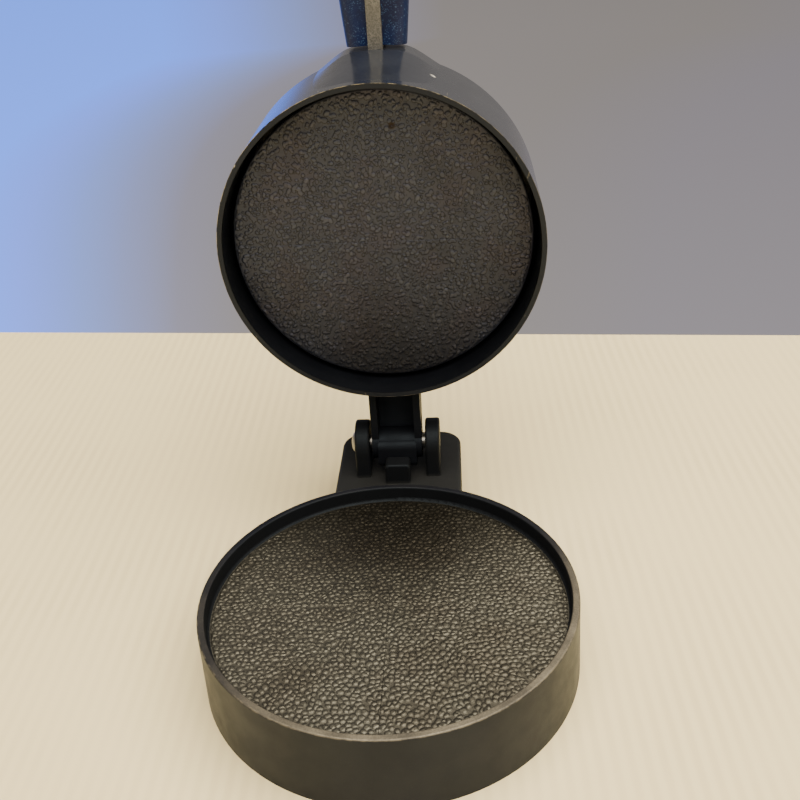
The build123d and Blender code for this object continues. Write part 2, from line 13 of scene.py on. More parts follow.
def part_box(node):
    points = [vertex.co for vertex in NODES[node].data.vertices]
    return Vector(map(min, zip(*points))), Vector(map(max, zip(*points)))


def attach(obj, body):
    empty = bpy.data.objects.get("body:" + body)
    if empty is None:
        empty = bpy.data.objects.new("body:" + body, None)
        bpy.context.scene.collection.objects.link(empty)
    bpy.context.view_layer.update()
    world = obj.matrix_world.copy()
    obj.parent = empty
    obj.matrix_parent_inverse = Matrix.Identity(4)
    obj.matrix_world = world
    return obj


MM = 0.001

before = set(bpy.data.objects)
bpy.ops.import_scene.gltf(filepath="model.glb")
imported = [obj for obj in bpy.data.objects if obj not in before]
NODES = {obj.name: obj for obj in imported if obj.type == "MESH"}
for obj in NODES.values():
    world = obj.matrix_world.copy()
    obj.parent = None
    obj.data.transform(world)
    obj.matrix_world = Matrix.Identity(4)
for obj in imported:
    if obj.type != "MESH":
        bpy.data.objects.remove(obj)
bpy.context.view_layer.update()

# ---- camera: angles in degrees ----------------------------------------------------------------
CAMERA_AT = (8.2 * MM, -256.3 * MM, 243.0 * MM)
CAMERA_PITCH = 29.3
CAMERA_ROLL = -3.8
CAMERA_TURN = 4.4         # round the object, towards its right
CAMERA_LENS = 45.0
CAMERA_NEAR = 0.01

# ---- table and room ---------------------------------------------------------------------------
TABLE_BACK_Y = 0.2519
TABLE_BACK_TURN = -4.84   # degrees; its back edge runs slightly askew
TABLE_HALF = 1.6
TABLE_THICK = 0.02
RIB_PITCH = 4.8 * MM
RIB_SLANT = 0.03          # how far the ribs lean to the side as they run back
RIB_WANDER = 0.35         # in rib pitches
TABLE_LIGHT = (0.86, 0.73, 0.44)
TABLE_RIB = (0.78, 0.655, 0.39)
ROOM_COLOUR = (0.34, 0.31, 0.285)
WALL_STOPS = (            # the back wall's colours from left to right, from daylight to grey
    (0.10, (0.24, 0.54, 2.1)),
    (0.15, (0.29, 0.48, 1.65)),
    (0.20, (0.32, 0.44, 1.05)),
    (0.24, (0.34, 0.39, 0.70)),
    (0.29, (0.34, 0.325, 0.40)),
    (0.36, (0.325, 0.295, 0.28)),
    (0.60, (0.310, 0.282, 0.268)),
    (0.75, (0.300, 0.275, 0.295)))

# ---- places on the object that the finishes follow --------------------------------------------
PAN_RIM_Z = 27.5 * MM
PAN_OUTER_R = 62.5 * MM
PAN_WALL_R = 60.15 * MM   # the pan's wall, at the rim
HINGE_FRONT_Y = 63.5 * MM
BLOCK_TOP_Z = 22.3 * MM
LID_WALL = 1.8 * MM
LID_DEPTH = 49.2 * MM
CHIP_AT = (19.3 * MM, 95.4 * MM, 171.7 * MM)
NICK_AT = (-48.4 * MM, 72.9 * MM, 150.6 * MM)
STAIN_AT = (5.1 * MM, 83.7 * MM, 158.7 * MM)

# ---- pebbled faces ----------------------------------------------------------------------------
PAN_FLOOR_Z = 21.8 * MM
PAN_SKIN_R = 59.93 * MM   # just inside the cast wall
PAN_FLAT_R = 58.8 * MM    # the floor sweeps up into the wall beyond this
PAN_SWEEP_R = 1.2 * MM
PLATE_SKIN_R = 53.76 * MM
PLATE_FLAT_R = 53.0 * MM
PLATE_EDGE_R = 0.8 * MM
SKIN_LIFT = 0.02 * MM     # a skin's ground stands this far off the cast face
PEBBLE_GRID = 440         # cells across a skin
SEED_REACH = 80           # rows and columns of bead centres on each side of the middle
NOISE_CELLS = 64
WARP_WAVES = ((3.2, 1.0), (1.1, 0.35))   # wave size in bead spacings, share of the warp
LUMP_HEIGHT = 0.07        # small lumps on the beads, as a share of a bead's height
LUMP_WAVE = 0.30          # in bead spacings
WORM_BEND = 0.35          # how strongly a long bead curves
DOME_POWER = 0.6          # under 1 gives a bead a flatter top and steeper sides

# ---- colours ----------------------------------------------------------------------------------
COOL = (0.60, 0.78, 1.0)  # the coats' highlights lean to blue
COAT_DARK = (0.0070, 0.0080, 0.0135)
COAT_LIGHT = (0.0104, 0.0117, 0.0185)
COAT_SPECK = (0.050, 0.048, 0.046)
# painted shade for the pan's inside and the hinge region under the lid
BASE_PAINTED_SHADE = (0.0050, 0.0052, 0.0064)
# rim top colour: partly wear, partly painted light, used only towards the front and right
BASE_RUBBED_AND_LIT = (0.190, 0.168, 0.130)
# pale rim edge line: partly wear, partly a painted highlight
BASE_EDGE_WEAR_HIGHLIGHT = (0.24, 0.21, 0.155)
# painted light on the hinge block's flat top
BLOCK_TOP_PAINTED_LIGHT = (0.016, 0.016, 0.0165)
LID_BRIGHTER = (1.9, 1.9, 1.8)
LID_FACE = (0.015, 0.0160, 0.021)
# bright rim edge line on the lid: partly wear, partly a painted highlight
LID_EDGE_WEAR_HIGHLIGHT = (0.42, 0.385, 0.31)
LID_SCUFF = (0.20, 0.18, 0.15)
LID_CHIP = (0.80, 0.78, 0.74)
LID_NICK = (0.36, 0.34, 0.30)
LID_INSIDE = (0.0045, 0.0050, 0.0075)
STAIN = (0.012, 0.006, 0.004)
CAST_DARK = (0.10, 0.100, 0.098)
CAST_LIGHT = (0.235, 0.232, 0.222)
CAST_CLOUD = (0.125, 0.124, 0.118)
BLUE_DARK = (0.0020, 0.0068, 0.038)
BLUE_LIGHT = (0.0036, 0.0125, 0.066)
FLAKE_FINE = (0.045, 0.105, 0.22)
FLAKE_COARSE = (0.09, 0.17, 0.31)


# =============================================================================================
# small node-tree helper
# =============================================================================================
class Tree:
    """Builds one material's or world's nodes; a value is a number, a colour or a node's output."""

    def __init__(self, name, world=False):
        store = bpy.data.worlds if world else bpy.data.materials
        self.owner = store.new(name)
        self.owner.use_nodes = True
        self.nodes = self.owner.node_tree.nodes
        self.links = self.owner.node_tree.links
        self.nodes.clear()
        self.out = self.nodes.new("ShaderNodeOutputWorld" if world else "ShaderNodeOutputMaterial")
        self.coords = self.nodes.new("ShaderNodeTexCoord").outputs["Generated" if world else "Object"]

    def put(self, socket, value):
        if isinstance(value, bpy.types.NodeSocket):
            self.links.new(value, socket)
        elif isinstance(value, (tuple, list)) and len(value) == 3 and socket.type == "RGBA":
            socket.default_value = (*value, 1.0)
        else:
            socket.default_value = value

    def node(self, kind, settings=None, **inputs):
        made = self.nodes.new(kind)
        for key, value in (settings or {}).items():
            setattr(made, key, value)
        for key, value in inputs.items():
            self.put(made.inputs[key.replace("_", " ")], value)
        return made

    def noise(self, scale, detail=3.0, roughness=0.55, vector=None):
        """Cloudy noise round 0.5; scale is waves per metre."""
        return self.node("ShaderNodeTexNoise", Vector=vector or self.coords, Scale=scale, Detail=detail,
                         Roughness=roughness).outputs["Fac"]

    def stretch(self, scale):
        """The piece's coordinates, scaled differently along each axis."""
        return self.node("ShaderNodeMapping", Vector=self.coords, Scale=scale).outputs["Vector"]

    def ramp(self, value, low, high, to_low=0.0, to_high=1.0):
        """Smooth change from to_low to to_high as value goes from low to high."""
        made = self.nodes.new("ShaderNodeMapRange")
        made.interpolation_type = "SMOOTHSTEP"
        for i, v in enumerate((value, low, high, to_low, to_high)):
            self.put(made.inputs[i], v)
        return made.outputs[0]

    def math(self, operation, a, b=0.0):
        made = self.nodes.new("ShaderNodeMath")
        made.operation = operation
        self.put(made.inputs[0], a)
        self.put(made.inputs[1], b)
        return made.outputs[0]

    def mix(self, factor, a, b, blend="MIX"):
        """Colour a where factor is 0 and b where it is 1."""
        made = self.nodes.new("ShaderNodeMix")
        made.data_type = "RGBA"
        made.blend_type = blend
        self.put(made.inputs["Factor"], factor)
        self.put(made.inputs[6], a)
        self.put(made.inputs[7], b)
        return made.outputs[2]

    def bump(self, height, distance, strength=1.0, normal=None):
        made = self.node("ShaderNodeBump", Height=height, Distance=distance, Strength=strength)
        if normal is not None:
            self.put(made.inputs["Normal"], normal)
        return made.outputs["Normal"]

    def spot(self, centre, radius, soft):
        """1 inside soft times this radius round the centre, fading to 0 at the radius."""
        away = self.node("ShaderNodeVectorMath", {"operation": "DISTANCE"})
        self.put(away.inputs[0], self.coords)
        self.put(away.inputs[1], centre)
        return self.ramp(away.outputs["Value"], radius * soft, radius, 1.0, 0.0)

    def attribute(self, name):
        return self.node("ShaderNodeAttribute", {"attribute_name": name}).outputs["Fac"]

    def axis(self, index):
        return self.node("ShaderNodeSeparateXYZ", Vector=self.coords).outputs[index]

    def finish(self, **inputs):
        shader = self.node("ShaderNodeBsdfPrincipled")
        for key, value in inputs.items():
            self.put(shader.inputs[key.replace("_", " ")], value)
        self.links.new(shader.outputs["BSDF"], self.out.inputs["Surface"])
        return self.owner


def dress(names, material):
    """Gives these CAD pieces one material."""
    for name in names:
        data = NODES[name].data
        data.materials.clear()
        data.materials.append(material)


# =============================================================================================
# finishes
# =============================================================================================
def coat_layers(t, grain):
    """Casting grain, orange peel and cloudy colour that every coated casting shares."""
    speck = t.noise(2600.0, 2.0, 0.7)
    colour = t.mix(t.ramp(t.noise(34.0, 4.0), 0.35, 0.68), COAT_DARK, COAT_LIGHT)
    colour = t.mix(t.ramp(speck, 0.62, 0.74, 0.0, 0.30), colour, COAT_SPECK)
    peel = t.bump(t.noise(420.0, 2.0, 0.5), 0.00002, grain)
    return colour, speck, t.bump(speck, 0.00001, grain, peel)


def radius_from(t, centre, axes):
    """Distance of a point from an axis through centre; axes are the two that count."""
    parts = []
    for index, middle in zip(axes, centre):
        offset = t.math("SUBTRACT", t.axis(index), middle)
        parts.append(t.math("MULTIPLY", offset, offset))
    return t.math("SQRT", t.math("ADD", *parts))


def band(t, value, low, high, soft):
    """1 between low and high, fading to 0 over soft on each side."""
    rise = t.ramp(value, low - soft, low, 0.0, 1.0)
    fall = t.ramp(value, high, high + soft, 1.0, 0.0)
    return t.math("MULTIPLY", rise, fall)


def base_finish():
    """Coat on the base: satin outside; the rim top rubbed, with painted light making it lighter at the front
    and right; dull, with painted shade, inside and at the hinge; painted light on the hinge block's top; a
    pale worn edge line that is partly a painted highlight.
    """
    t = Tree("base_coat")
    colour, speck, fine = coat_layers(t, 0.30)
    reach = radius_from(t, (0.0, 0.0), (0, 1))
    z = t.axis(2)
    within_wall = t.ramp(reach, PAN_WALL_R, PAN_WALL_R + 0.15 * MM, 1.0, 0.0)
    above_floor = t.ramp(z, PAN_FLOOR_Z - 1.8 * MM, PAN_FLOOR_Z - 0.8 * MM)
    inside = t.math("MULTIPLY", within_wall, above_floor)
    hinge = t.ramp(t.axis(1), HINGE_FRONT_Y, HINGE_FRONT_Y + 2.5 * MM)
    # painted shade: the pan's inside and the hinge region under the lid are coloured near black, standing in
    # for their shade and the floor's dark reflection
    dark = t.math("MAXIMUM", inside, hinge)
    rim = t.math("MULTIPLY", t.ramp(z, PAN_RIM_Z - 0.5 * MM, PAN_RIM_Z - 0.1 * MM),
                 t.ramp(reach, PAN_WALL_R - 0.1 * MM, PAN_WALL_R + 0.15 * MM))
    rim = t.math("MULTIPLY", rim, t.math("SUBTRACT", 1.0, hinge))
    # pale line on the rim's outer edge: partly wear, partly a painted highlight
    edge_wear_and_highlight = t.math("MULTIPLY", band(t, reach, PAN_OUTER_R - 0.4 * MM, PAN_OUTER_R - 0.1 * MM, 0.2 * MM),
                  t.ramp(z, PAN_RIM_Z - 0.7 * MM, PAN_RIM_Z - 0.3 * MM))
    edge_wear_and_highlight = t.math("MULTIPLY", edge_wear_and_highlight, t.ramp(t.noise(420.0, 4.0), 0.44, 0.62))
    colour = t.mix(dark, colour, BASE_PAINTED_SHADE)
    bare = t.math("MULTIPLY", rim, t.ramp(speck, 0.3, 0.7, 0.6, 1.0))
    bare = t.math("MULTIPLY", bare, t.ramp(t.noise(70.0, 4.0), 0.35, 0.65, 0.55, 1.0))
    # painted light: the rubbed rim is lighter at the front and right, fading where the lid shades the back
    # and towards the left
    front = t.ramp(t.axis(1), -10 * MM, 35 * MM, 1.0, 0.05)
    right = t.ramp(t.axis(0), -60 * MM, -20 * MM, 0.2, 1.0)
    painted_light_front_right = t.math("MULTIPLY", front, right)
    colour = t.mix(t.math("MULTIPLY", bare, painted_light_front_right), colour, BASE_RUBBED_AND_LIT)
    # painted light: the hinge block's flat top is coloured lighter than its shaded sides
    painted_light_block_top = t.math("MULTIPLY", hinge, t.ramp(z, BLOCK_TOP_Z + 0.2 * MM, BLOCK_TOP_Z + 1.7 * MM, 1.0, 0.0))
    colour = t.mix(painted_light_block_top, colour, BLOCK_TOP_PAINTED_LIGHT)
    colour = t.mix(t.math("MULTIPLY", edge_wear_and_highlight, 0.35), colour, BASE_EDGE_WEAR_HIGHLIGHT)
    gloss = t.math("SUBTRACT", 0.10, t.math("MULTIPLY", t.math("MAXIMUM", dark, rim), 0.09))
    metal = t.math("ADD", 0.12, t.math("MULTIPLY", rim, 0.35))
    normal = t.bump(speck, 0.00004, 0.5, fine)
    rough = t.math("ADD", t.ramp(t.noise(120.0, 3.0), 0.3, 0.7, 0.44, 0.54), t.math("MULTIPLY", dark, 0.12))
    return t.finish(Base_Color=colour, Metallic=metal, Roughness=rough, Normal=normal,
                    Specular_IOR_Level=0.2, Specular_Tint=COOL, Coat_Weight=gloss, Coat_Roughness=0.25,
                    Coat_IOR=1.4, Coat_Normal=t.bump(t.noise(300.0, 2.0, 0.45), 0.00001, 0.15))


def lid_finish():
    """The lid's coat: shinier outside, with scuffs, a chip, a nick and a bright edge at the rim that is
    partly wear and partly a painted highlight.
    """
    t = Tree("lid_coat")
    colour, _, fine = coat_layers(t, 0.22)
    colour = t.mix(1.0, colour, LID_BRIGHTER, "MULTIPLY")
    low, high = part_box("lid_casting")
    outer_r = (high.x - low.x) / 2
    wall_r = outer_r - LID_WALL
    reach = radius_from(t, ((low.x + high.x) / 2, low.z + outer_r), (0, 2))
    y = t.axis(1)
    inside = t.ramp(reach, wall_r + 0.05 * MM, wall_r + 0.2 * MM, 1.0, 0.0)
    back = low.y + LID_DEPTH
    inside = t.math("MULTIPLY", inside, t.ramp(y, back - 0.7 * MM, back - 0.2 * MM, 1.0, 0.0))
    face = t.math("MULTIPLY", t.ramp(y, low.y + 0.05 * MM, low.y + 0.15 * MM, 1.0, 0.0),
                  t.ramp(reach, wall_r + 0.05 * MM, wall_r + 0.1 * MM))
    # bright line on the rim's outer edge: partly wear, partly a painted highlight weighted towards the top
    # and left, where light falls
    edge_wear_and_highlight = t.math("MULTIPLY", band(t, reach, outer_r - 0.12 * MM, outer_r + 0.1 * MM, 0.08 * MM),
                  t.ramp(y, low.y + 0.25 * MM, low.y + 0.45 * MM, 1.0, 0.0))
    painted_light_upper = t.ramp(t.math("SUBTRACT", t.axis(2), t.math("MULTIPLY", t.axis(0), 0.6)), 0.125, 0.165, 0.25, 1.0)
    edge_wear_and_highlight = t.math("MULTIPLY", t.math("MULTIPLY", edge_wear_and_highlight, painted_light_upper), t.ramp(t.noise(260.0, 5.0), 0.36, 0.60))
    colour = t.mix(face, colour, LID_FACE)
    colour = t.mix(t.math("MULTIPLY", edge_wear_and_highlight, 0.8), colour, LID_EDGE_WEAR_HIGHLIGHT)
    scuff = t.noise(900.0, 3.0, 0.6, t.stretch((1.0, 0.12, 0.3)))
    marks = t.math("MULTIPLY", t.ramp(scuff, 0.66, 0.72), t.ramp(t.noise(60.0), 0.52, 0.66))
    colour = t.mix(t.math("MULTIPLY", marks, 0.5), colour, LID_SCUFF)
    chip = t.math("MULTIPLY", t.spot(CHIP_AT, 1.4 * MM, 0.5), t.ramp(t.noise(1500.0), 0.40, 0.50))
    colour = t.mix(chip, colour, LID_CHIP)
    nick = t.math("MULTIPLY", t.spot(NICK_AT, 1.1 * MM, 0.5), t.ramp(t.noise(1500.0), 0.35, 0.45))
    colour = t.mix(nick, colour, LID_NICK)
    colour = t.mix(inside, colour, LID_INSIDE)
    rough = t.ramp(t.noise(120.0, 3.0), 0.3, 0.7, 0.38, 0.50)
    dull = t.math("MAXIMUM", t.math("MULTIPLY", inside, 0.8), face)
    metal = t.math("ADD", 0.30, t.math("MULTIPLY", edge_wear_and_highlight, 0.7))
    return t.finish(Base_Color=colour, Metallic=metal, Roughness=rough, Normal=fine,
                    Specular_IOR_Level=0.25, Specular_Tint=COOL, Coat_Weight=t.math("SUBTRACT", 1.0, dull),
                    Coat_IOR=1.5, Coat_Roughness=0.16,
                    Coat_Normal=t.bump(t.noise(260.0, 2.0, 0.4), 0.00001, 0.12))


def dull_coat(name, body, coat):
    """Thin dull coat, as sprayed where nothing touches food."""
    t = Tree(name)
    colour, _, fine = coat_layers(t, 0.4)
    colour = t.mix(0.75, colour, body)
    rough = t.ramp(t.noise(150.0, 3.0), 0.3, 0.7, 0.50, 0.64)
    return t.finish(Base_Color=colour, Metallic=0.1, Roughness=rough, Normal=fine,
                    Specular_IOR_Level=0.18, Specular_Tint=COOL, Coat_Weight=coat, Coat_Roughness=0.3)


def pebble_finish(name, ground, foot_dirt_and_shade, face, tip_wear_and_highlight, redness, metallic, dark_patch_at, stain=None):
    """Pebbled pressing face: a dark line round the foot of each bead (partly dirt, partly painted shade),
    lighter tips (partly rubbed, partly a painted highlight) and a large darker patch.
    """
    t = Tree(name)
    height = t.attribute("pebble")
    # dark foot line round each bead: partly dirt in the grooves, partly painted shade
    foot = t.math("MULTIPLY", t.ramp(height, 0.01, 0.10), t.ramp(height, 0.30, 0.55, 1.0, 0.0))
    colour = t.mix(t.ramp(height, 0.15, 0.5), ground, face)
    # lighter bead tips: partly rubbed, partly a painted highlight
    colour = t.mix(t.ramp(height, 0.65, 1.0, 0.0, 0.8), colour, tip_wear_and_highlight)
    colour = t.mix(foot, colour, foot_dirt_and_shade)
    # a large darker patch round its centre: painted shade on the pan, a darkening towards the bottom on the
    # plate
    patch_darkened = t.mix(1.0, colour, (0.42, 0.40, 0.38), "MULTIPLY")
    colour = t.mix(t.spot(dark_patch_at, 62 * MM, 0.15), colour, patch_darkened)
    darker = t.mix(1.0, colour, (0.80, 0.78, 0.76), "MULTIPLY")
    colour = t.mix(t.ramp(t.noise(26.0, 4.0, 0.6), 0.42, 0.64, 0.0, 0.9), colour, darker)
    redder = t.mix(1.0, colour, (1.10, 0.95, 0.93), "MULTIPLY")
    colour = t.mix(t.ramp(t.noise(48.0, 3.0, 0.6), 0.45, 0.62, 0.0, redness), colour, redder)
    if stain:
        mark = t.math("MULTIPLY", t.spot(stain, 1.7 * MM, 0.35), t.ramp(t.noise(900.0), 0.30, 0.50))
        colour = t.mix(mark, colour, STAIN)
    rough = t.ramp(t.noise(700.0, 3.0), 0.3, 0.7, 0.34, 0.50)
    normal = t.bump(t.noise(3200.0, 2.0, 0.7), 0.00003, 0.4, t.bump(t.noise(900.0, 2.0), 0.00004, 0.5))
    return t.finish(Base_Color=colour, Metallic=metallic, Roughness=rough, Normal=normal)


def rough_cast_finish():
    """Bare cast edge of the tang: light grey, grainy and dull."""
    t = Tree("tang_cast")
    grain = t.noise(1800.0, 3.0, 0.75)
    cloud = t.noise(160.0, 3.0)
    colour = t.mix(t.ramp(grain, 0.35, 0.65), CAST_DARK, CAST_LIGHT)
    colour = t.mix(t.ramp(cloud, 0.4, 0.7, 0.0, 0.5), colour, CAST_CLOUD)
    return t.finish(Base_Color=colour, Metallic=0.7, Roughness=t.ramp(grain, 0.3, 0.7, 0.42, 0.62),
                    Normal=t.bump(grain, 0.00006, 0.6))


def speckled_plastic():
    """Deep blue moulded scale full of fine pale flakes, thicker in drifts."""
    t = Tree("blue_speckle")

    def flakes(scale, size, share, channel):
        """Dots in this share of the cells; size is a dot's radius in cells."""
        cells = t.node("ShaderNodeTexVoronoi", {"feature": "F1"}, Vector=t.coords, Scale=scale,
                       Randomness=1.0)
        pick = t.node("ShaderNodeSeparateColor", Color=cells.outputs["Color"]).outputs[channel]
        dots = t.ramp(cells.outputs["Distance"], size * 0.5, size, 1.0, 0.0)
        return t.math("MULTIPLY", dots, t.ramp(pick, 1 - share, 1 - share + 0.15))

    drift = t.ramp(t.noise(110.0, 3.0), 0.38, 0.62, 0.25, 1.0)
    fine = t.math("MULTIPLY", flakes(2100.0, 0.50, 0.55, 0), drift)
    coarse = flakes(900.0, 0.34, 0.30, 1)
    body = t.mix(t.ramp(t.noise(70.0, 4.0), 0.35, 0.65), BLUE_DARK, BLUE_LIGHT)
    colour = t.mix(t.math("MULTIPLY", fine, 0.75), body, FLAKE_FINE)
    colour = t.mix(t.math("MULTIPLY", coarse, 0.35), colour, FLAKE_COARSE)
    return t.finish(Base_Color=colour, Roughness=0.42, Specular_IOR_Level=0.2,
                    Normal=t.bump(t.noise(800.0, 2.0), 0.00003, 0.5), Coat_Weight=0.05, Coat_Roughness=0.2)


def turned_metal(name, colour, roughness):
    """Machined or plated metal with fine turning marks."""
    t = Tree(name)
    lines = t.noise(2600.0, 2.0, 0.6, t.stretch((1.0, 0.15, 1.0)))
    dark = tuple(c * 0.72 for c in colour)
    tint = t.mix(t.ramp(t.noise(220.0, 4.0), 0.35, 0.7), colour, dark)
    tint = t.mix(t.ramp(lines, 0.4, 0.7, 0.0, 0.35), tint, tuple(min(1.0, c * 1.2) for c in colour))
    return t.finish(Base_Color=tint, Metallic=1.0,
                    Roughness=t.ramp(lines, 0.3, 0.7, roughness * 0.8, roughness * 1.25),
                    Normal=t.bump(lines, 0.00001, 0.35))


def moulded_plastic(name, colour, roughness):
    """Plain moulded plastic with a fine spark-eroded grain."""
    t = Tree(name)
    spark = t.noise(2000.0, 3.0, 0.6)
    light = tuple(min(1.0, c * 1.5 + 0.004) for c in colour)
    tint = t.mix(t.ramp(t.noise(90.0, 3.0), 0.35, 0.7), colour, light)
    return t.finish(Base_Color=tint, Roughness=t.ramp(spark, 0.3, 0.7, roughness * 0.85, roughness * 1.1),
                    Normal=t.bump(spark, 0.00003, 0.4))


# =============================================================================================
# pebbled faces
# =============================================================================================
def smooth_noise(points, cell, rng):
    """Smooth random value from -1 to 1 at each (x, y) point; cell is the size of its waves."""
    size = NOISE_CELLS
    grid = rng.uniform(-1, 1, (size, size))
    p = points / cell + size / 2
    base = np.floor(p).astype(int)
    f = p - base
    f = f * f * (3 - 2 * f)
    x0, y0 = base[:, 0] % size, base[:, 1] % size
    x1, y1 = (x0 + 1) % size, (y0 + 1) % size
    low = grid[x0, y0] * (1 - f[:, 0]) + grid[x1, y0] * f[:, 0]
    high = grid[x0, y1] * (1 - f[:, 0]) + grid[x1, y1] * f[:, 0]
    return low * (1 - f[:, 1]) + high * f[:, 1]


def dome(t):
    """Height of a bead's dome, from 0 at its foot (t = 0) to 1 at its top (t = 1)."""
    return (1 - (1 - t) ** 2) ** DOME_POWER


class PebbleGrid:
    """Jittered rows of pebble centres, and each point's nearby ones."""

    def __init__(self, points, spacing, jitter, rng):
        self.columns = SEED_REACH
        rise = spacing * math.sqrt(3) / 2
        ix, iy = np.meshgrid(*[np.arange(-self.columns, self.columns)] * 2, indexing="ij")
        shape = ix.shape
        self.x = ((ix + 0.5 * (iy % 2)) + rng.uniform(-jitter, jitter, shape)) * spacing
        self.y = iy * rise + rng.uniform(-jitter, jitter, shape) * spacing
        self.points = points
        self.row = np.round(points[:, 1] / rise).astype(int) + self.columns
        self.column = np.round(points[:, 0] / spacing).astype(int) + self.columns

    def near(self):
        """Yields, for each of the cells round the points, its offset from the points and its number."""
        last = 2 * self.columns - 1
        for dy in range(-2, 3):
            for dx in range(-3, 3):
                i = np.clip(self.column + dx, 0, last)
                j = np.clip(self.row + dy, 0, last)
                away = np.stack([self.points[:, 0] - self.x[i, j], self.points[:, 1] - self.y[i, j]], 1)
                yield away, i * (last + 1) + j

    def count(self):
        return (2 * self.columns) ** 2


def packed_pebbles(points, rng, spacing, jitter, size, shoulder, valley):
    """Height of closely packed round beads, cut off by a narrow groove where two of them meet."""
    grid = PebbleGrid(points, spacing, jitter, rng)
    best = np.full((2, len(points)), 1e9)
    number = np.zeros((2, len(points)), int)
    for away, n in grid.near():
        d = np.hypot(away[:, 0], away[:, 1])
        first = d < best[0]
        second = ~first & (d < best[1])
        best[1] = np.where(first, best[0], np.where(second, d, best[1]))
        number[1] = np.where(first, number[0], np.where(second, n, number[1]))
        best[0] = np.where(first, d, best[0])
        number[0] = np.where(first, n, number[0])
    seeds = np.stack([grid.x.ravel(), grid.y.ravel()], 1)
    apart = np.linalg.norm(seeds[number[0]] - seeds[number[1]], axis=1)
    groove = (best[1] ** 2 - best[0] ** 2) / (2 * np.maximum(apart, 1e-9)) - valley
    radius = rng.uniform(size[0], size[1], grid.count())[number[0]]
    tall = rng.uniform(0.65, 1.0, grid.count())[number[0]]
    t = np.clip(np.minimum(radius - best[0], groove) / shoulder, 0, 1)
    return tall * dome(t)


def lone_pebbles(points, rng, spacing, jitter, size, slim, shoulder):
    """Height of rounded beads and short worms on a flat ground, with a groove where two meet."""
    grid = PebbleGrid(points, spacing, jitter, rng)
    turn = rng.uniform(0, math.pi, grid.count())
    radius = rng.uniform(size[0], size[1], grid.count())
    long = rng.uniform(1.0, slim, grid.count())
    tall = rng.uniform(0.55, 1.0, grid.count())
    best = np.zeros((2, len(points)))
    own = np.zeros(len(points))
    for away, n in grid.near():
        c, q = np.cos(turn[n]), np.sin(turn[n])
        u = (away[:, 0] * c + away[:, 1] * q) / np.sqrt(long[n])
        v = (-away[:, 0] * q + away[:, 1] * c) * np.sqrt(long[n])
        bend = v + WORM_BEND * u * u / radius[n] * np.where(n % 2, 1, -1) * (long[n] - 1)
        inside = np.maximum(radius[n] - np.hypot(u, bend), 0) / shoulder
        first = inside > best[0]
        best[1] = np.where(first, best[0], np.maximum(best[1], inside))
        best[0] = np.where(first, inside, best[0])
        own = np.where(first, tall[n], own)
    t = np.clip(np.minimum(best[0], 2.0 * (best[0] - best[1])), 0, 1)
    return own * dome(t)


def pebble_heights(points, radius, seed, warp, pattern, fade, **shape):
    """Height from 0 to 1 of a pebbled face at each (x, y) point, fading out at this radius."""
    rng = np.random.default_rng(seed)
    spacing = shape["spacing"]
    bent = points.copy()
    for size, amount in WARP_WAVES:
        for axis in (0, 1):
            bent[:, axis] += smooth_noise(points, spacing * size, rng) * warp * amount
    height = pattern(bent, rng, **shape)
    height = height + LUMP_HEIGHT * smooth_noise(points, spacing * LUMP_WAVE, rng)
    reach = np.hypot(points[:, 0], points[:, 1])
    ring = smooth_noise(points, spacing * 1.5, rng) * fade * 0.35
    t = np.clip((radius - reach + ring) / fade, 0, 1)
    return np.clip(height, 0, 1) * t * t * (3 - 2 * t)


def disc_grid(radius, cells):
    """Points of a square grid pulled into a disc, and its quads."""
    line = np.linspace(-1, 1, cells + 1)
    a, b = np.meshgrid(line, line, indexing="ij")
    a, b = a.ravel(), b.ravel()
    wide = np.abs(a) > np.abs(b)
    r = np.where(wide, a, b)
    safe = np.where(r == 0, 1, r)
    angle = np.where(wide, math.pi / 4 * b / safe, math.pi / 2 - math.pi / 4 * a / safe)
    points = np.stack([r * np.cos(angle), r * np.sin(angle)], 1) * radius
    i, j = np.meshgrid(np.arange(cells), np.arange(cells), indexing="ij")
    corner = (i * (cells + 1) + j).ravel()
    quads = np.stack([corner, corner + cells + 1, corner + cells + 2, corner + 1], 1)
    return points, quads


def hollow_edge(reach, flat_r, curve):
    """Rise of the floor where it sweeps up into the wall, beyond flat_r."""
    x = np.clip(reach - flat_r, 0, curve)
    return curve - np.sqrt(np.maximum(curve ** 2 - x ** 2, 0))


def round_edge(reach, flat_r, curve):
    """Fall of a face whose border is rounded over, beyond flat_r."""
    return -hollow_edge(reach, flat_r, curve)


def closed_block(name, top, faces, sunk, height):
    """Mesh of these top faces with walls down to a flat back, sunk below z = 0."""
    sides = np.vstack([faces[:, [k, (k + 1) % 4]] for k in range(4)])
    key = sides.min(1) * len(top) + sides.max(1)
    _, first, count = np.unique(key, return_index=True, return_counts=True)
    rim = {int(a): int(b) for a, b in sides[first[count == 1]]}
    loop = [min(rim)]
    while rim[loop[-1]] != loop[0]:
        loop.append(rim[loop[-1]])
    used = np.unique(faces)
    place = np.zeros(len(top), int)
    place[used] = np.arange(len(used))
    low = top[loop].copy()
    low[:, 2] = -sunk
    ring = [int(place[v]) for v in loop]
    around = len(ring)
    polygons = place[faces].tolist()
    for k in range(around):
        after = (k + 1) % around
        polygons.append((ring[after], ring[k], len(used) + k, len(used) + after))
    polygons.append(tuple(range(len(used), len(used) + around)))
    mesh = bpy.data.meshes.new(name)
    mesh.from_pydata(np.vstack([top[used], low]).tolist(), [], polygons)
    store = mesh.attributes.new("pebble", "FLOAT", "POINT")
    store.data.foreach_set("value", np.concatenate([height[used], np.zeros(around)]).astype(np.float32))
    smooth = np.zeros(len(mesh.polygons), bool)
    smooth[:len(faces)] = True
    mesh.polygons.foreach_set("use_smooth", smooth)
    return mesh


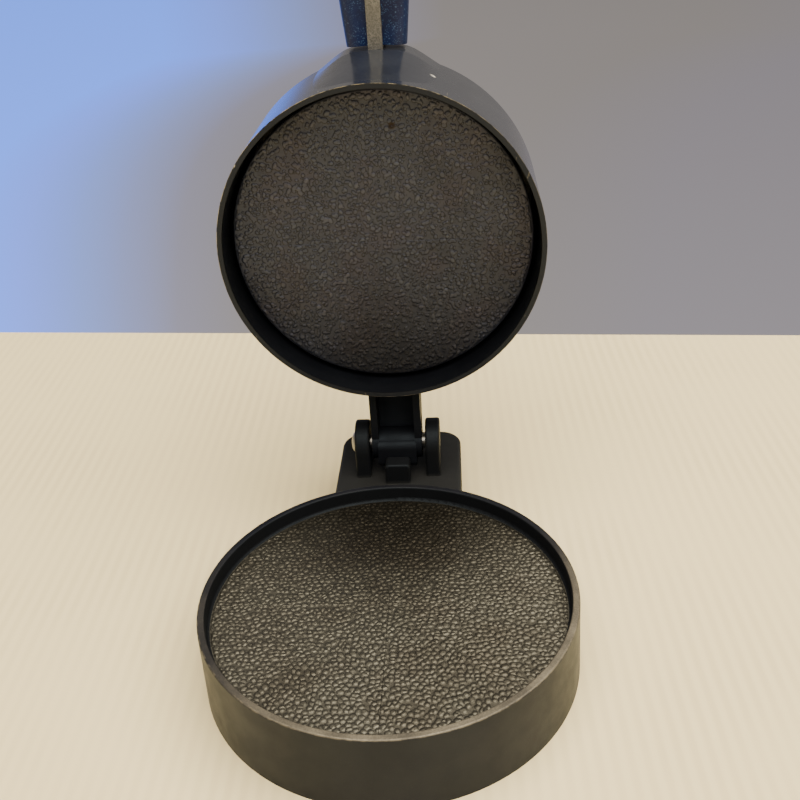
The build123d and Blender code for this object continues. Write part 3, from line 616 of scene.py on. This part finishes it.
def pebbled_face(name, body, slot, matrix, radius, edge, tall, sunk, material, **shape):
    """Closed thin skin in four quarters: beads up to tall, with the back sunk below z = 0."""
    points, quads = disc_grid(radius, PEBBLE_GRID)
    edge_shape, flat_r, curve = edge
    height = pebble_heights(points, radius=flat_r, **shape)
    z = height * tall + edge_shape(np.hypot(points[:, 0], points[:, 1]), flat_r, curve)
    top = np.column_stack([points, z])
    middle = top[quads].mean(1)
    for k, (right, back) in enumerate(((False, False), (True, False), (True, True), (False, True))):
        part = quads[((middle[:, 0] > 0) == right) & ((middle[:, 1] > 0) == back)]
        mesh = closed_block(f"{name}_{k + 1}", top, part, sunk, height)
        mesh.transform(matrix)
        mesh.materials.append(material)
        piece = bpy.data.objects.new(mesh.name, mesh)
        bpy.context.scene.collection.objects.link(piece)
        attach(piece, body)


# the pan's darker patch at the back of the floor is painted shade: the lid's shade and its dark reflection
# there
pan_finish = pebble_finish(
    "pan_pebbles", ground=(0.104, 0.101, 0.087), foot_dirt_and_shade=(0.064, 0.062, 0.054), face=(0.108, 0.105, 0.090),
    tip_wear_and_highlight=(0.130, 0.126, 0.107), redness=0.1, metallic=0.9, dark_patch_at=(0, 50 * MM, PAN_FLOOR_Z))
pebbled_face(
    "pan_pebbles", "base", "cast_metal", Matrix.Translation((0, 0, PAN_FLOOR_Z + SKIN_LIFT)),
    PAN_SKIN_R, (hollow_edge, PAN_FLAT_R, PAN_SWEEP_R), 0.27 * MM, 0.5 * MM, pan_finish,
    seed=11, warp=0.40 * MM, pattern=packed_pebbles, fade=0.6 * MM,
    spacing=2.06 * MM, jitter=0.36, size=(0.78 * MM, 1.25 * MM), shoulder=0.75 * MM, valley=0.02 * MM)

plate_low, plate_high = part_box("press_plate")
plate_centre = (plate_low + plate_high) / 2
plate_place = Matrix.Translation((plate_centre.x, plate_low.y - SKIN_LIFT, plate_centre.z))
plate_place = plate_place @ Euler((math.pi / 2, 0, 0)).to_matrix().to_4x4()
# the plate's darker patch is centred below its lower edge, so the plate grows darker towards the bottom
plate_finish = pebble_finish(
    "plate_pebbles", ground=(0.034, 0.040, 0.064), foot_dirt_and_shade=(0.011, 0.0130, 0.020), face=(0.038, 0.044, 0.069),
    tip_wear_and_highlight=(0.056, 0.064, 0.094), redness=0.7, metallic=0.6, dark_patch_at=(0, 84 * MM, 45 * MM), stain=STAIN_AT)
pebbled_face(
    "plate_pebbles", "plate", "plate_metal", plate_place,
    PLATE_SKIN_R, (round_edge, PLATE_FLAT_R, PLATE_EDGE_R), 0.28 * MM, 1.4 * MM, plate_finish,
    seed=5, warp=0.35 * MM, pattern=lone_pebbles, fade=0.5 * MM,
    spacing=1.85 * MM, jitter=0.45, size=(0.35 * MM, 1.00 * MM), slim=1.8, shoulder=0.42 * MM)

# =============================================================================================
# finishes on the CAD pieces
# =============================================================================================
dress(["base_casting"], base_finish())
dress(["lid_casting"], lid_finish())
dress(["hinge_arm"], dull_coat("arm_coat", (0.0036, 0.0038, 0.0050), 0.0))
dress(["press_plate"], dull_coat("plate_coat", (0.018, 0.018, 0.021), 0.1))
dress(["handle_tang"], rough_cast_finish())
dress(["grip_left", "grip_right", "knob_cap"], speckled_plastic())
dress(["grip_nut_inner", "grip_nut_outer", "grip_screw_inner", "grip_screw_outer", "plate_screw"],
      turned_metal("bright_steel", (0.56, 0.56, 0.55), 0.26))
dress(["hinge_pin"], turned_metal("pin_steel", (0.34, 0.34, 0.34), 0.36))
dress(["screw_lock_nut", "key_plate", "key_screw_left", "key_screw_right", "knob_set_screw"],
      turned_metal("zinc_steel", (0.44, 0.45, 0.46), 0.38))
dress(["knob_bush"], turned_metal("turned_brass", (0.62, 0.44, 0.17), 0.28))
dress(["knob_washer"], moulded_plastic("washer_nylon", (0.62, 0.60, 0.54), 0.45))
dress(["adjuster_knob"], moulded_plastic("knob_black", (0.014, 0.014, 0.015), 0.48))


# =============================================================================================
# table, light, camera
# =============================================================================================
def table_finish():
    """Warm white table with faint fine ribs running to the back."""
    t = Tree("table_white")
    wander = t.math("MULTIPLY", t.noise(9.0, 2.0), RIB_WANDER * RIB_PITCH)
    across = t.math("ADD", t.math("ADD", t.axis(0), t.math("MULTIPLY", t.axis(1), RIB_SLANT)), wander)
    ribs = t.math("SINE", t.math("MULTIPLY", across, 2 * math.pi / RIB_PITCH))
    faint = t.ramp(t.noise(14.0, 3.0), 0.30, 0.70, 0.25, 1.0)
    shade = t.math("MULTIPLY", t.ramp(ribs, -1.0, 1.0), faint)
    colour = t.mix(shade, TABLE_LIGHT, TABLE_RIB)
    return t.finish(Base_Color=colour, Roughness=0.55, Specular_IOR_Level=0.25,
                    Normal=t.bump(ribs, 0.0001, 0.04))


def add_table():
    """Plain slab whose back edge is the horizon."""
    slope = TABLE_HALF * math.tan(math.radians(TABLE_BACK_TURN))
    back = [(-TABLE_HALF, TABLE_BACK_Y - slope), (TABLE_HALF, TABLE_BACK_Y + slope)]
    plan = [(-TABLE_HALF, -TABLE_HALF), (TABLE_HALF, -TABLE_HALF)] + back
    corners = [(x, y, z) for z in (-TABLE_THICK, 0.0) for x, y in plan]
    faces = [(0, 2, 3, 1), (4, 5, 7, 6), (0, 1, 5, 4), (2, 6, 7, 3), (0, 4, 6, 2), (1, 3, 7, 5)]
    mesh = bpy.data.meshes.new("table")
    mesh.from_pydata(corners, [], faces)
    mesh.materials.append(table_finish())
    table = bpy.data.objects.new("table", mesh)
    bpy.context.scene.collection.objects.link(table)


def add_area(name, at, target, size, power, colour):
    """Soft rectangular light that faces its target."""
    data = bpy.data.lights.new(name, "AREA")
    data.shape = "RECTANGLE"
    data.size, data.size_y = size
    data.energy = power
    data.color = colour
    lamp = bpy.data.objects.new(name, data)
    lamp.location = at
    lamp.rotation_euler = (Vector(target) - Vector(at)).to_track_quat("-Z", "Y").to_euler()
    bpy.context.scene.collection.objects.link(lamp)


def add_world():
    """Warm grey room all round, with bluish daylight at the left of the wall behind the object."""
    t = Tree("room", world=True)
    bpy.context.scene.world = t.owner
    across, back, up = (t.axis(i) for i in range(3))
    glow = t.math("EXPONENT", t.math("MULTIPLY", t.math("ADD", t.math("MINIMUM", up, -0.165), 0.16), 20.0))
    place = t.math("ADD", across, t.math("SUBTRACT", 0.37, t.math("MULTIPLY", glow, 0.22)))
    ramp = t.node("ShaderNodeValToRGB", Fac=t.math("ADD", place, 0.2))
    stops = ramp.color_ramp.elements
    for stop, (at, colour) in zip(stops, (WALL_STOPS[0], WALL_STOPS[-1])):
        stop.position = at
        stop.color = (*colour, 1)
    for at, colour in WALL_STOPS[1:-1]:
        stops.new(at).color = (*colour, 1)
    behind = t.math("MULTIPLY", t.ramp(back, 0.65, 0.80), t.ramp(up, -0.10, 0.05, 1.0, 0.0))
    colour = t.mix(behind, ROOM_COLOUR, ramp.outputs["Color"])
    shade = t.math("SUBTRACT", 0.757, t.math("MULTIPLY", t.math("MINIMUM", up, -0.10), 0.9))
    light = t.node("ShaderNodeBackground", Color=colour, Strength=shade)
    t.links.new(light.outputs[0], t.out.inputs["Surface"])


def add_camera():
    data = bpy.data.cameras.new("camera")
    data.lens = CAMERA_LENS
    data.clip_start = CAMERA_NEAR
    camera = bpy.data.objects.new("camera", data)
    turn = Matrix.Rotation(math.radians(CAMERA_TURN), 4, "Z")
    tilt = Matrix.Rotation(math.radians(90 - CAMERA_PITCH), 4, "X")
    roll = Matrix.Rotation(math.radians(CAMERA_ROLL), 4, "Z")
    camera.matrix_world = turn @ Matrix.Translation(CAMERA_AT) @ tilt @ roll
    bpy.context.scene.collection.objects.link(camera)
    bpy.context.scene.camera = camera


add_table()
add_world()
add_area("overhead", at=(0.35, -0.25, 1.6), target=(0, 0.05, 0), size=(2.6, 2.2), power=112.0,
         colour=(1.0, 0.90, 0.70))
add_area("front_fill", at=(0.1, -1.4, 1.0), target=(0, 0.05, 0.12), size=(1.4, 0.6), power=3.0,
         colour=(1.0, 0.92, 0.78))
add_camera()
